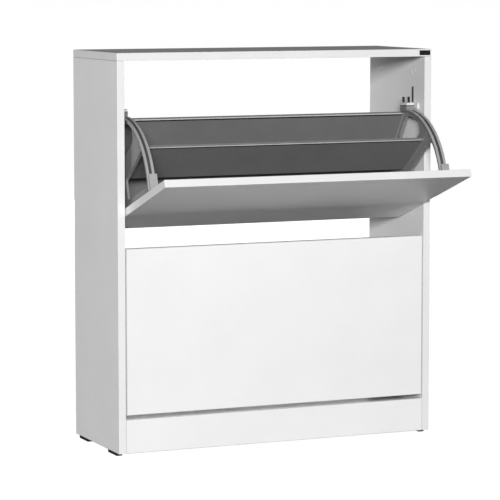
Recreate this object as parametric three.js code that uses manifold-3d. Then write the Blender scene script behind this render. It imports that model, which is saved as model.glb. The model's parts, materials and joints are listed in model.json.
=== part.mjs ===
// Shoe cabinet: a melamine carcass without a back, and two tilting units one above the other.
// Each unit is a flap on two moulded side frames that carry three thin shelf boards.
// Millimetres, +Z up, the front faces -Y. The upper unit stands open, the lower one is closed.
// The origin is on the floor, in the middle of the footprint that the open flap adds to.

import * as THREE from 'three';
import { mergeVertices } from 'three/addons/utils/BufferGeometryUtils.js';
import Module from 'manifold-3d';

const wasm = await Module();
wasm.setup();

// ---------------------------------------------------------------- driving dimensions

// Overall, over the boards
const WIDTH = 730;
const DEPTH = 268;
const HEIGHT = 840; // from the underside of the sides to the top face

// Boards and gaps
const BOARD = 16; // melamine-faced chipboard
const THIN_BOARD = 3; // hardboard shelves of the tilting units
const TOUCH = 0.3; // gap between pieces that rest on each other
const FLAP_SIDE_GAP = 2.5; // flap to side panel
const GRIP_GAP = 20; // above each flap, where fingers pull it open
const FOOT_GAP = 9; // lower flap to plinth, room for its bottom edge to swing
const PLINTH_HEIGHT = 72;
const PLINTH_LIP = 12; // how far the plinth stands above the bottom panel
const RAIL_HEIGHT = 80;
const RAIL_RISE = 95; // rail above the bottom edge of its closed flap

// Floor glides
const GLIDE_WIDTH = 14;
const GLIDE_LENGTH = 50;
const GLIDE_HEIGHT = 7;
const GLIDE_SETBACK = 20; // from the front edge and from the back edge
const GLIDE_CHAMFER = 1.5;

// Tag on the front edge of the top panel
const TAG_WIDTH = 26;
const TAG_HEIGHT = 10.5;
const TAG_THICKNESS = 0.8;
const TAG_MARGIN = 3; // to the right end of the panel

// Tilting unit
const OPEN_ANGLE = 71; // degrees
const PIVOT_SETBACK = 47; // behind the front plane
const PIVOT_RISE = 83; // above the bottom edge of the flap
const FRAME_SIDE_GAP = 5; // side panel to side frame
const FRAME_WIDTH = 18; // flanges of the side frame, measured along X
const WEB_SETBACK = 8; // web of the side frame, behind the outer edge of its flange
const WEB = 5;
const RIB = 2.5;
const RIB_WIDTH = 16; // ribs, measured as the flanges are
const BACK_CLEARANCE = 34; // arc of the closed arm to the rear rail, with room for the head
const HEAD_PROUD = 15; // head of the arm, outside the arm's arc
const HEAD_START = 11; // degrees, closed, from straight back
const HEAD_SWEEP = 10.2;
const LUG_PROUD = 9.5; // outer part of the head, which meets the stop
const LUG_PANEL_GAP = 0.8; // lug of the head to the side panel
const PRONG_PROUD = 13; // thin prongs that stand on the head
const PRONG_START = 0.22; // of the head's sweep
const PRONG_END = 0.45;
const PRONG_PLACES = [5, 18]; // from the side panel
const PRONG_WIDTH = 2.5;
const ARM_FLANGE = 4;
const ARM_BAND = 14; // flange and web of the curved arm together
const GROOVE_WIDTH = 6; // guide groove along the outside of the arm
const GROOVE_DEPTH = 1.5;
const LEG_BAND = 17.4; // straight leg along the flap
const FOOT_REACH = 11.5; // foot on the flap, beyond the arm
const FOOT_RISE = 35;
const FRAME_TO_FLAP_END = 3; // lower end of the frame to the bottom edge of the flap
const BOARD_END_GAP = 0.5; // shelf board to web

// Shelf boards, by their lean from upright and their distance from the pivot, closed
const DIVIDER_LEAN = 18;
const DIVIDER_OFFSET = 39.7;
const DIVIDER_MOUTH = 33.5; // inside the arm's arc
const DIVIDER_DEPTH = 120;
const BACK_LEAN = 37.5;
const BACK_OFFSET = 104;
const BACK_MOUTH = 1; // inside the arm's flange

// Windows of the side frame
const STRUT_FRONT = 19.4; // rib in front of the divider
const STRUT_BACK = 22.3; // web behind the divider
const BACK_RIB = 15; // rib in front of the back board
const LEG_WINDOW_SILL = 30; // above the pivot
const ARM_WINDOW_SILL = -5;
const LEG_WINDOW_CORNER = 7;
const ARM_WINDOW_CORNER = 18;

// Pivot
const PIN_RADIUS = 3.7;
const PIN_FIT = 0.4; // pin to bore, all round
const PIN_DEPTH = 10; // in the side panel
const COLLAR_RADIUS = 7;
const BOSS_RADIUS = 10;

// Stop that the lug of the head runs into: a strip over the lug, and a tooth in front of it
const STOP_LUG_GAP = 1; // lug to strip
const STOP_STRIP = 5.5;
const STOP_OVERLAP = 12; // degrees of strip behind the tooth
const STOP_TOOTH_SWEEP = 4.5; // degrees
const STOP_ARM_GAP = 3.5; // arm to tooth
const STOP_FRAME_GAP = 0.7; // the stop lies flat between the panel and the frame
const STOP_SLACK = 0.15; // degrees left between the lug and the tooth when open
const STOP_PLUG_RADIUS = 3.5;
const STOP_PLUG_DEPTH = 9;
const LEAF_WIDTH = 6;
const LEAF_THICKNESS = 1.5;
const LEAF_HEIGHT = 34;
const LEAF_ROOT = 3; // sunk in the strip
const LEAF_PLACE = 4.5; // degrees behind the tooth

// Wood screws that hold the frames to the flaps
const SCREW_RADIUS = 1.75;
const SCREW_HEAD_RADIUS = 3.6;
const SCREW_HEAD_HEIGHT = 2.2;
const SCREW_DEPTH = 11;
const SCREW_LOW = -50; // from the pivot, along the flap
const SCREW_FIT = 0.35;

// Cam fittings between the sides and the top
const CAM_RADIUS = 7.5;
const CAM_DEPTH = 12;
const CAM_DROP = 34; // centre below the top edge of the side
const CAM_SETBACK = 50; // from the front edge and from the back edge
const BOLT_RADIUS = 2.5;
const BOLT_HEAD_RADIUS = 3.5;
const BOLT_HEAD_HEIGHT = 3;
const BOLT_THREAD = 10; // length in the top panel
const BORE_FIT = 0.4;

const ROUND_SEGMENTS = 16;
const ARC_STEP = 5; // degrees between points on large arcs

// ---------------------------------------------------------------- derived dimensions

const sideHeight = HEIGHT - BOARD - TOUCH;
const floorToSide = GLIDE_HEIGHT + TOUCH;
const innerHalf = WIDTH / 2 - BOARD;
const plinthTop = floorToSide + PLINTH_HEIGHT;
const topUnderside = floorToSide + HEIGHT - BOARD;
const flapHeight = (topUnderside - plinthTop - FOOT_GAP - 2 * GRIP_GAP) / 2;
const flapHalf = innerHalf - FLAP_SIDE_GAP;
const lowerFlapBottom = plinthTop + FOOT_GAP;
const upperFlapBottom = lowerFlapBottom + flapHeight + GRIP_GAP;

// In a unit, u runs back from the pivot and v runs up, with the flap closed
const openAngle = THREE.MathUtils.degToRad(OPEN_ANGLE);
const armRadius = DEPTH - BOARD - BACK_CLEARANCE - PIVOT_SETBACK;
const flapInside = BOARD - PIVOT_SETBACK;
const frameFace = flapInside + TOUCH;
const frameBottom = FRAME_TO_FLAP_END - PIVOT_RISE;
const armInside = armRadius - ARM_BAND;
const frameOut = FRAME_SIDE_GAP; // distances from the side panel, towards the middle
const webOut = FRAME_SIDE_GAP + WEB_SETBACK;
const webIn = webOut + WEB;
const frameIn = FRAME_SIDE_GAP + FRAME_WIDTH;
const ribIn = FRAME_SIDE_GAP + RIB_WIDTH;
const shelfHalf = innerHalf - webIn - BOARD_END_GAP;
const footTop = armRadius + FOOT_REACH;
const headStart = THREE.MathUtils.degToRad(HEAD_START);
const headEnd = headStart + THREE.MathUtils.degToRad(HEAD_SWEEP);

// A leaning plane: n points away from the pivot, d runs up to the mouth of the tray
function leaningPlane(lean, offset) {
  const angle = THREE.MathUtils.degToRad(lean);
  const n = new THREE.Vector2(Math.cos(angle), -Math.sin(angle));
  const d = new THREE.Vector2(Math.sin(angle), Math.cos(angle));
  return {
    angle,
    offset,
    at: (out, along) => n.clone().multiplyScalar(out).addScaledVector(d, along),
    alongAtRadius: (out, radius) => Math.sqrt(radius * radius - out * out),
    alongAtHeight: (out, v) => (v - n.y * out) / d.y,
  };
}

const divider = leaningPlane(DIVIDER_LEAN, DIVIDER_OFFSET);
const back = leaningPlane(BACK_LEAN, BACK_OFFSET);
const dividerTop = divider.alongAtRadius(DIVIDER_OFFSET, armRadius - DIVIDER_MOUTH);
const dividerBottom = dividerTop - DIVIDER_DEPTH;
const backTop = back.alongAtRadius(BACK_OFFSET + THIN_BOARD, armRadius - ARM_FLANGE - BACK_MOUTH);
const trayUnderside = frameBottom + RIB + TOUCH;
const trayFloor = trayUnderside + THIN_BOARD;
const backBottom = back.alongAtHeight(BACK_OFFSET + THIN_BOARD, trayFloor + TOUCH);
const backLipOut = BACK_OFFSET + THIN_BOARD + TOUCH;
const screwHigh = armRadius + (FOOT_REACH - RIB) / 2;
const screwAcross = (frameOut + webOut) / 2;

// ---------------------------------------------------------------- materials

function finish(color, roughness, metalness = 0) {
  return new THREE.MeshStandardMaterial({ color, roughness, metalness });
}

const whiteBoard = finish(0xf1f1ef, 0.45);
const greyBoard = finish(0x6c6c6c, 0.7);
const greyPlastic = finish(0x77797b, 0.5);
const blackPlastic = finish(0x151515, 0.5);
const whitePlastic = finish(0xe9e9e6, 0.4);
const darkPlastic = finish(0x3a3b3c, 0.5);
const zinc = finish(0xb4b6b8, 0.35, 1);

// ---------------------------------------------------------------- geometry helpers

function toSolid(geometry) {
  const bare = geometry.clone();
  bare.deleteAttribute('normal');
  bare.deleteAttribute('uv');
  const merged = mergeVertices(bare, 1e-4);
  return new wasm.Manifold(new wasm.Mesh({
    numProp: 3,
    vertProperties: new Float32Array(merged.attributes.position.array),
    triVerts: new Uint32Array(merged.index.array),
  }));
}

function toGeometry(solid) {
  const mesh = solid.getMesh();
  const geometry = new THREE.BufferGeometry();
  geometry.setAttribute('position', new THREE.BufferAttribute(mesh.vertProperties, 3));
  geometry.setIndex(new THREE.BufferAttribute(mesh.triVerts, 1));
  geometry.computeVertexNormals();
  return geometry;
}

function join(geometries) {
  return toGeometry(geometries.map(toSolid).reduce((sum, next) => sum.add(next)));
}

function cut(geometry, tools) {
  return toGeometry(tools.map(toSolid).reduce((rest, tool) => rest.subtract(tool), toSolid(geometry)));
}

// A box between two corners
function block(x0, x1, y0, y1, z0, z1) {
  const geometry = new THREE.BoxGeometry(x1 - x0, y1 - y0, z1 - z0);
  return geometry.translate((x0 + x1) / 2, (y0 + y1) / 2, (z0 + z1) / 2);
}

// An outline in the (u, v) plane, extruded along X from x0 to x1
function slab(shape, x0, x1) {
  const geometry = new THREE.ExtrudeGeometry(shape, { depth: x1 - x0, bevelEnabled: false });
  geometry.translate(0, 0, x0);
  const axes = new THREE.Matrix4().makeBasis(
    new THREE.Vector3(0, 1, 0),
    new THREE.Vector3(0, 0, 1),
    new THREE.Vector3(1, 0, 0),
  );
  return geometry.applyMatrix4(axes);
}

// A straight strip of a leaning plane, from out0 to out1 and from low to high
function strip(plane, out0, out1, low, high, x0, x1) {
  const corners = [plane.at(out0, low), plane.at(out1, low), plane.at(out1, high), plane.at(out0, high)];
  return slab(new THREE.Shape(corners), x0, x1);
}

// A round bar along X, at (u, v)
function barX(radius, x0, x1, u = 0, v = 0) {
  const geometry = new THREE.CylinderGeometry(radius, radius, x1 - x0, ROUND_SEGMENTS);
  return geometry.rotateZ(Math.PI / 2).translate((x0 + x1) / 2, u, v);
}

// A round bar along Y
function barY(radius, y0, y1, x, z) {
  const geometry = new THREE.CylinderGeometry(radius, radius, y1 - y0, ROUND_SEGMENTS);
  return geometry.translate(x, (y0 + y1) / 2, z);
}

// A round bar along Z
function barZ(radius, z0, z1, x, y) {
  const geometry = new THREE.CylinderGeometry(radius, radius, z1 - z0, ROUND_SEGMENTS);
  return geometry.rotateX(Math.PI / 2).translate(x, y, (z0 + z1) / 2);
}

function polar(radius, angle) {
  return new THREE.Vector2(radius * Math.cos(angle), radius * Math.sin(angle));
}

// Points along an arc around the pivot, both ends included
function arcPoints(radius, from, to) {
  const steps = Math.max(1, Math.ceil(Math.abs(THREE.MathUtils.radToDeg(to - from)) / ARC_STEP));
  const points = [];
  for (let i = 0; i <= steps; i += 1) {
    points.push(polar(radius, from + ((to - from) * i) / steps));
  }
  return points;
}

function ringSector(inner, outer, from, to, x0, x1) {
  const outline = [...arcPoints(outer, from, to), ...arcPoints(inner, to, from)];
  return slab(new THREE.Shape(outline), x0, x1);
}

// A closed outline whose sharp corners are rounded; points that already lie on an arc stay
function roundedShape(points, radius) {
  const shape = new THREE.Shape();
  points.forEach((corner, i) => {
    const before = points[(i + points.length - 1) % points.length].clone().sub(corner);
    const after = points[(i + 1) % points.length].clone().sub(corner);
    const turn = Math.abs(Math.PI - Math.abs(before.angleTo(after)));
    const isSharp = turn > THREE.MathUtils.degToRad(3 * ARC_STEP);
    const reach = isSharp ? Math.min(radius, before.length() / 2, after.length() / 2) : 0;
    const start = corner.clone().addScaledVector(before.normalize(), reach);
    const end = corner.clone().addScaledVector(after.normalize(), reach);
    const steps = isSharp ? 4 : 0;
    for (let k = 0; k <= steps; k += 1) {
      const t = steps ? k / steps : 0;
      const a = start.clone().lerp(corner, t);
      const b = corner.clone().lerp(end, t);
      const point = a.lerp(b, t);
      if (i === 0 && k === 0) shape.moveTo(point.x, point.y);
      else shape.lineTo(point.x, point.y);
    }
  });
  return shape;
}

// The same geometry on the other side of the cabinet
function mirrored(geometry) {
  const copy = geometry.index ? geometry.clone() : mergeVertices(geometry.clone());
  copy.scale(-1, 1, 1);
  const index = copy.index;
  for (let i = 0; i < index.count; i += 3) {
    const second = index.getX(i + 1);
    index.setX(i + 1, index.getX(i + 2));
    index.setX(i + 2, second);
  }
  copy.computeVertexNormals();
  return copy;
}

// Pieces of one side are drawn from the inner face of the left panel (x = 0) towards the middle
function toSide(geometry, side) {
  const left = geometry.clone().translate(-innerHalf, 0, 0);
  return side === 'left' ? left : mirrored(left);
}

function piece(name, geometry, material) {
  const mesh = new THREE.Mesh(geometry, material);
  mesh.name = name;
  return mesh;
}

// ---------------------------------------------------------------- places of the fittings

const SIDES = ['left', 'right'];
const units = [
  { level: 'upper', pivotHeight: upperFlapBottom + PIVOT_RISE, turn: openAngle },
  { level: 'lower', pivotHeight: lowerFlapBottom + PIVOT_RISE, turn: 0 },
];
const camPlaces = [
  { end: 'front', y: CAM_SETBACK },
  { end: 'back', y: DEPTH - CAM_SETBACK },
];
const glidePlaces = [
  { end: 'front', y: GLIDE_SETBACK },
  { end: 'back', y: DEPTH - GLIDE_SETBACK - GLIDE_LENGTH },
];
const camHeight = floorToSide + sideHeight - CAM_DROP;
const boltCentre = -BOARD / 2; // distance from the inner face of the side panel
const toothStart = headEnd + openAngle + THREE.MathUtils.degToRad(STOP_SLACK);
const toothEnd = toothStart + THREE.MathUtils.degToRad(STOP_TOOTH_SWEEP);
const stripStart = toothStart - THREE.MathUtils.degToRad(STOP_OVERLAP);
const toothInner = armRadius + STOP_ARM_GAP;
const stripInner = armRadius + LUG_PROUD + STOP_LUG_GAP;
const stopOuter = stripInner + STOP_STRIP;
const plugCentre = polar((toothInner + stopOuter) / 2, (toothStart + toothEnd) / 2);
const leafCentre = polar(stopOuter, toothStart - THREE.MathUtils.degToRad(LEAF_PLACE));

// ---------------------------------------------------------------- carcass

function sidePanel(side) {
  const panel = block(-BOARD, 0, 0, DEPTH, floorToSide, floorToSide + sideHeight);
  const bores = [];
  for (const unit of units) {
    const plugY = PIVOT_SETBACK + plugCentre.x;
    const plugZ = unit.pivotHeight + plugCentre.y;
    bores.push(barX(PIN_RADIUS + PIN_FIT, -PIN_DEPTH - TOUCH, 1, PIVOT_SETBACK, unit.pivotHeight));
    bores.push(barX(STOP_PLUG_RADIUS + PIN_FIT, -STOP_PLUG_DEPTH - TOUCH, 1, plugY, plugZ));
  }
  for (const { y } of camPlaces) {
    bores.push(barX(CAM_RADIUS + BORE_FIT, -CAM_DEPTH - TOUCH, 1, y, camHeight));
    bores.push(barZ(BOLT_HEAD_RADIUS + BORE_FIT, camHeight, topUnderside + 1, boltCentre, y));
  }
  return piece(`side_panel_${side}`, toSide(cut(panel, bores), side), whiteBoard);
}

function topPanel() {
  const panel = block(-WIDTH / 2, WIDTH / 2, 0, DEPTH, topUnderside, topUnderside + BOARD);
  const bores = [];
  for (const { y } of camPlaces) {
    for (const sign of [-1, 1]) {
      const x = sign * (innerHalf - boltCentre);
      const boreEnd = topUnderside + BOLT_THREAD + TOUCH;
      bores.push(barZ(BOLT_RADIUS + BORE_FIT, topUnderside - 1, boreEnd, x, y));
    }
  }
  return piece('top_panel', cut(panel, bores), whiteBoard);
}

function bottomPanel() {
  const half = innerHalf - TOUCH;
  const top = plinthTop - PLINTH_LIP;
  const panel = block(-half, half, BOARD + TOUCH, DEPTH, top - BOARD, top);
  return piece('bottom_panel', panel, whiteBoard);
}

function plinthBoard() {
  const half = innerHalf - TOUCH;
  return piece('plinth_board', block(-half, half, 0, BOARD, floorToSide, plinthTop), whiteBoard);
}

function rearRail(level, flapBottom) {
  const half = innerHalf - TOUCH;
  const low = flapBottom + RAIL_RISE;
  const rail = block(-half, half, DEPTH - BOARD, DEPTH, low, low + RAIL_HEIGHT);
  return piece(`rear_rail_${level}`, rail, whiteBoard);
}

// The lower edge is chamfered all round so that the glide slides over a carpet edge
function glide(side, end, y) {
  const shape = new THREE.Shape();
  const halfWidth = GLIDE_WIDTH / 2 - GLIDE_CHAMFER;
  const halfLength = GLIDE_LENGTH / 2 - GLIDE_CHAMFER;
  shape.moveTo(-halfWidth, -halfLength);
  shape.lineTo(halfWidth, -halfLength);
  shape.lineTo(halfWidth, halfLength);
  shape.lineTo(-halfWidth, halfLength);
  const geometry = new THREE.ExtrudeGeometry(shape, {
    depth: GLIDE_HEIGHT - GLIDE_CHAMFER,
    bevelThickness: GLIDE_CHAMFER,
    bevelSize: GLIDE_CHAMFER,
    bevelSegments: 1,
  });
  geometry.translate(-BOARD / 2, y + GLIDE_LENGTH / 2, GLIDE_CHAMFER);
  const belowSide = block(-BOARD, 0, y, y + GLIDE_LENGTH, 0, GLIDE_HEIGHT);
  const trimmed = toGeometry(toSolid(geometry).intersect(toSolid(belowSide)));
  return piece(`glide_${end}_${side}`, toSide(trimmed, side), blackPlastic);
}

function edgeTag() {
  const right = WIDTH / 2 - TAG_MARGIN;
  const low = topUnderside + (BOARD - TAG_HEIGHT) / 2;
  const plate = block(right - TAG_WIDTH, right, -TAG_THICKNESS - TOUCH, -TOUCH, low, low + TAG_HEIGHT);
  return piece('edge_tag', plate, blackPlastic);
}

// A cam disc in the side, with the mouth that takes the head of its bolt
function topCam(side, end, y) {
  const disc = barX(CAM_RADIUS, -CAM_DEPTH, -TOUCH, y, camHeight);
  const headHalf = BOLT_HEAD_RADIUS + BORE_FIT;
  const mouthLow = camHeight - BOLT_HEAD_HEIGHT / 2 - BORE_FIT;
  const mouth = block(
    boltCentre - headHalf,
    boltCentre + headHalf,
    y - headHalf,
    y + headHalf,
    mouthLow,
    camHeight + CAM_RADIUS + 1,
  );
  return piece(`top_cam_${end}_${side}`, toSide(cut(disc, [mouth]), side), zinc);
}

function topCamBolt(side, end, y) {
  const low = camHeight - BOLT_HEAD_HEIGHT / 2;
  const profile = [
    new THREE.Vector2(0, low),
    new THREE.Vector2(BOLT_HEAD_RADIUS, low),
    new THREE.Vector2(BOLT_HEAD_RADIUS, low + BOLT_HEAD_HEIGHT),
    new THREE.Vector2(BOLT_RADIUS, low + BOLT_HEAD_HEIGHT + 1),
    new THREE.Vector2(BOLT_RADIUS, topUnderside + BOLT_THREAD),
    new THREE.Vector2(0, topUnderside + BOLT_THREAD),
  ];
  const bolt = new THREE.LatheGeometry(profile, ROUND_SEGMENTS);
  bolt.rotateX(Math.PI / 2).translate(boltCentre, y, 0);
  return piece(`top_cam_bolt_${end}_${side}`, toSide(bolt, side), zinc);
}

// ---------------------------------------------------------------- fittings on the sides

// The pin turns in the boss of the frame; its collar keeps the frame off the panel
function pivotPin(level, side) {
  const profile = [
    new THREE.Vector2(0, -PIN_DEPTH),
    new THREE.Vector2(PIN_RADIUS, -PIN_DEPTH),
    new THREE.Vector2(PIN_RADIUS, TOUCH),
    new THREE.Vector2(COLLAR_RADIUS, TOUCH),
    new THREE.Vector2(COLLAR_RADIUS, FRAME_SIDE_GAP - TOUCH),
    new THREE.Vector2(PIN_RADIUS, FRAME_SIDE_GAP - TOUCH),
    new THREE.Vector2(PIN_RADIUS, ribIn - TOUCH),
    new THREE.Vector2(0, ribIn - TOUCH),
  ];
  const pin = new THREE.LatheGeometry(profile, ROUND_SEGMENTS).rotateZ(-Math.PI / 2);
  return piece(`pivot_pin_${level}_${side}`, toSide(pin, side), darkPlastic);
}

// The leaf stands upright against the panel, its root in a recess of the strip
function leafStrip(grow) {
  const low = leafCentre.y - LEAF_ROOT - grow;
  return block(
    TOUCH - grow,
    TOUCH + LEAF_THICKNESS + grow,
    leafCentre.x - LEAF_WIDTH / 2 - grow,
    leafCentre.x + LEAF_WIDTH / 2 + grow,
    low,
    leafCentre.y + LEAF_HEIGHT,
  );
}

function stopBlock(level, side) {
  const inside = FRAME_SIDE_GAP - STOP_FRAME_GAP;
  const overlying = ringSector(stripInner, stopOuter, stripStart, toothEnd, TOUCH, inside);
  const tooth = ringSector(toothInner, stopOuter, toothStart, toothEnd, TOUCH, inside);
  const plug = barX(STOP_PLUG_RADIUS, -STOP_PLUG_DEPTH, 1, plugCentre.x, plugCentre.y);
  const whole = cut(join([overlying, tooth, plug]), [leafStrip(TOUCH)]);
  return piece(`stop_block_${level}_${side}`, toSide(whole, side), whitePlastic);
}

function stopLeaf(level, side) {
  return piece(`stop_leaf_${level}_${side}`, toSide(leafStrip(0), side), darkPlastic);
}

function sideFittings({ level, pivotHeight }) {
  const group = new THREE.Group();
  group.position.set(0, PIVOT_SETBACK, pivotHeight);
  for (const side of SIDES) {
    group.add(pivotPin(level, side), stopBlock(level, side), stopLeaf(level, side));
  }
  return group;
}

// ---------------------------------------------------------------- tilting unit

function flap(level) {
  const bottom = -PIVOT_RISE;
  const top = bottom + flapHeight;
  const panel = block(-flapHalf, flapHalf, -PIVOT_SETBACK, flapInside, bottom, top);
  const bores = [];
  for (const sign of [-1, 1]) {
    for (const v of [SCREW_LOW, screwHigh]) {
      const x = sign * (innerHalf - screwAcross);
      bores.push(barY(SCREW_RADIUS + SCREW_FIT, flapInside - SCREW_DEPTH - TOUCH, flapInside + 1, x, v));
    }
  }
  return piece(`flap_${level}`, cut(panel, bores), whiteBoard);
}

// Web of the frame: from the flap to the back board, closed by an arc in the flange of the arm
function frameWeb() {
  const edgeRadius = armRadius - ARM_FLANGE / 2;
  const legAngle = Math.acos(frameFace / edgeRadius);
  const rearOut = backLipOut + RIB;
  const rearTop = back.at(rearOut, back.alongAtRadius(rearOut, edgeRadius));
  const rearBottom = back.at(rearOut, back.alongAtHeight(rearOut, frameBottom));
  const outline = [
    new THREE.Vector2(frameFace, frameBottom),
    rearBottom,
    ...arcPoints(edgeRadius, rearTop.angle(), legAngle),
  ];
  return slab(new THREE.Shape(outline), webOut, webIn);
}

// Triangular window between the leg, the divider's rib and the arm
function legWindow() {
  const strutOut = DIVIDER_OFFSET - STRUT_FRONT;
  const legLine = frameFace + LEG_BAND;
  const apexOut = strutOut - LEG_WINDOW_CORNER;
  const apex = divider.at(strutOut, divider.alongAtRadius(strutOut, armInside - LEG_WINDOW_CORNER));
  const outer = divider.at(apexOut, divider.alongAtRadius(apexOut, armInside));
  const legAngle = Math.acos(legLine / armInside);
  const points = [
    new THREE.Vector2(legLine, LEG_WINDOW_SILL),
    divider.at(strutOut, divider.alongAtHeight(strutOut, LEG_WINDOW_SILL)),
    apex,
    ...arcPoints(armInside, outer.angle(), legAngle),
  ];
  return slab(roundedShape(points, LEG_WINDOW_CORNER), frameOut - 1, frameIn + 1);
}

// D-shaped window between the divider's rib, the back board's rib and the arm
function armWindow() {
  const frontOut = DIVIDER_OFFSET + STRUT_BACK;
  const rearOut = BACK_OFFSET - BACK_RIB;
  const front = divider.at(frontOut, divider.alongAtRadius(frontOut, armInside - ARM_WINDOW_CORNER));
  const frontEnd = front.angle() - ARM_WINDOW_CORNER / armInside;
  const rearAngle = back.at(rearOut, back.alongAtRadius(rearOut, armInside)).angle();
  const points = [
    divider.at(frontOut, divider.alongAtHeight(frontOut, ARM_WINDOW_SILL)),
    back.at(rearOut, back.alongAtHeight(rearOut, ARM_WINDOW_SILL)),
    ...arcPoints(armInside, rearAngle, frontEnd),
    front,
  ];
  return slab(roundedShape(points, ARM_WINDOW_CORNER), frameOut - 1, frameIn + 1);
}

// The head stands out of the end of the arm; its lug, next to the panel, runs into the stop
function frameHead() {
  const inner = armRadius - ARM_FLANGE;
  const outside = armRadius + HEAD_PROUD;
  const head = ringSector(inner, outside, headStart, headEnd, frameOut, frameIn);
  const lug = ringSector(inner, armRadius + LUG_PROUD, headStart, headEnd, LUG_PANEL_GAP, frameOut + 1);
  const from = headStart + (headEnd - headStart) * PRONG_START;
  const to = headStart + (headEnd - headStart) * PRONG_END;
  const prongs = PRONG_PLACES.map((x) => {
    return ringSector(outside - 1, outside + PRONG_PROUD, from, to, x, x + PRONG_WIDTH);
  });
  return [head, lug, ...prongs];
}

// Flange around the outside of the arm, with the guide groove in it
function armFlange() {
  const legAngle = Math.acos(frameFace / armRadius);
  const band = ringSector(armRadius - ARM_FLANGE, armRadius, headStart, legAngle, frameOut, frameIn);
  const middle = (frameOut + frameIn) / 2;
  const low = middle - GROOVE_WIDTH / 2;
  const high = middle + GROOVE_WIDTH / 2;
  const groove = ringSector(
    armRadius - GROOVE_DEPTH,
    armRadius + 1,
    headEnd,
    Math.PI / 2,
    low,
    high,
  );
  return cut(band, [groove]);
}

// Leg on the flap and the foot beyond the arm, where the upper screw goes
function legAndFoot() {
  const leg = block(frameOut, frameIn, frameFace, frameFace + RIB, frameBottom, footTop);
  const footWall = block(webOut, webIn, frameFace, frameFace + FOOT_RISE, armInside, footTop);
  const footEnd = block(frameOut, frameIn, frameFace, frameFace + FOOT_RISE, footTop - RIB, footTop);
  return [leg, footWall, footEnd];
}

// Ribs that make the slots of the three shelf boards, and the edges of the windows
function frameRibs() {
  const dividerEnd = divider.alongAtRadius(DIVIDER_OFFSET, armInside);
  const backEnd = back.alongAtRadius(backLipOut + RIB, armRadius - ARM_FLANGE);
  const lipBottom = back.alongAtHeight(backLipOut + RIB, frameBottom);
  const windowBottom = back.alongAtHeight(BACK_OFFSET, ARM_WINDOW_SILL);
  const rearBottom = back.at(backLipOut, back.alongAtHeight(backLipOut, frameBottom));
  const ribs = [];
  const rib = (plane, out, low, high) => {
    ribs.push(strip(plane, out, out + RIB, low, high, webOut, ribIn));
  };
  rib(divider, DIVIDER_OFFSET - STRUT_FRONT, dividerBottom, dividerTop);
  rib(divider, DIVIDER_OFFSET - TOUCH - RIB, dividerBottom, dividerTop);
  rib(divider, DIVIDER_OFFSET + THIN_BOARD + TOUCH, dividerBottom, dividerEnd);
  rib(back, BACK_OFFSET - BACK_RIB, windowBottom, backTop - BACK_RIB);
  rib(back, BACK_OFFSET - TOUCH - RIB, backBottom + RIB, backTop);
  ribs.push(strip(back, backLipOut, backLipOut + RIB, lipBottom, backEnd, frameOut, frameIn));
  ribs.push(block(frameOut, frameIn, frameFace, rearBottom.x, frameBottom, frameBottom + RIB));
  const trayRear = back.at(BACK_OFFSET - TOUCH - RIB, back.alongAtHeight(BACK_OFFSET, trayFloor));
  ribs.push(block(webOut, ribIn, frameFace, trayRear.x, trayFloor + TOUCH, trayFloor + TOUCH + RIB));
  return ribs;
}

function sideFrame(level, side) {
  const web = cut(frameWeb(), [legWindow(), armWindow()]);
  const boss = barX(BOSS_RADIUS, frameOut, ribIn);
  const body = join([web, armFlange(), ...frameHead(), ...legAndFoot(), ...frameRibs(), boss]);
  const holes = [barX(PIN_RADIUS + PIN_FIT, frameOut - 1, ribIn + 1)];
  for (const v of [SCREW_LOW, screwHigh]) {
    holes.push(barY(SCREW_RADIUS + SCREW_FIT, frameFace - 1, frameFace + RIB + 1, screwAcross, v));
  }
  return piece(`side_frame_${level}_${side}`, toSide(cut(body, holes), side), greyPlastic);
}

function frameScrew(level, side, end, v) {
  const headUnder = frameFace + RIB + TOUCH;
  const profile = [
    new THREE.Vector2(0, flapInside - SCREW_DEPTH),
    new THREE.Vector2(SCREW_RADIUS, flapInside - SCREW_DEPTH + SCREW_RADIUS),
    new THREE.Vector2(SCREW_RADIUS, headUnder),
    new THREE.Vector2(SCREW_HEAD_RADIUS, headUnder),
    new THREE.Vector2(SCREW_HEAD_RADIUS, headUnder + SCREW_HEAD_HEIGHT / 2),
    new THREE.Vector2(0, headUnder + SCREW_HEAD_HEIGHT),
  ];
  const screw = new THREE.LatheGeometry(profile, ROUND_SEGMENTS).translate(screwAcross, 0, v);
  return piece(`frame_screw_${level}_${end}_${side}`, toSide(screw, side), zinc);
}

function shelf(name, plane, low, high) {
  const board = strip(plane, plane.offset, plane.offset + THIN_BOARD, low, high, -shelfHalf, shelfHalf);
  return piece(name, board, greyBoard);
}

function trayBottom(level) {
  const rear = back.at(backLipOut - TOUCH, back.alongAtHeight(backLipOut - TOUCH, trayUnderside));
  const front = frameFace + RIB + TOUCH;
  const board = block(-shelfHalf, shelfHalf, front, rear.x - TOUCH, trayUnderside, trayFloor);
  return piece(`bottom_board_${level}`, board, greyBoard);
}

function tiltingUnit({ level, pivotHeight, turn }) {
  const group = new THREE.Group();
  group.position.set(0, PIVOT_SETBACK, pivotHeight);
  group.rotation.x = turn;
  group.add(flap(level));
  group.add(shelf(`divider_board_${level}`, divider, dividerBottom, dividerTop));
  group.add(shelf(`back_board_${level}`, back, backBottom, backTop));
  group.add(trayBottom(level));
  for (const side of SIDES) {
    group.add(sideFrame(level, side));
    group.add(frameScrew(level, side, 'low', SCREW_LOW));
    group.add(frameScrew(level, side, 'high', screwHigh));
  }
  return group;
}

// ---------------------------------------------------------------- assembly

// How far the open flap reaches in front of the sides
const flapTop = flapHeight - PIVOT_RISE;
const openReach = PIVOT_SETBACK * Math.cos(openAngle) + flapTop * Math.sin(openAngle) - PIVOT_SETBACK;

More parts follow.
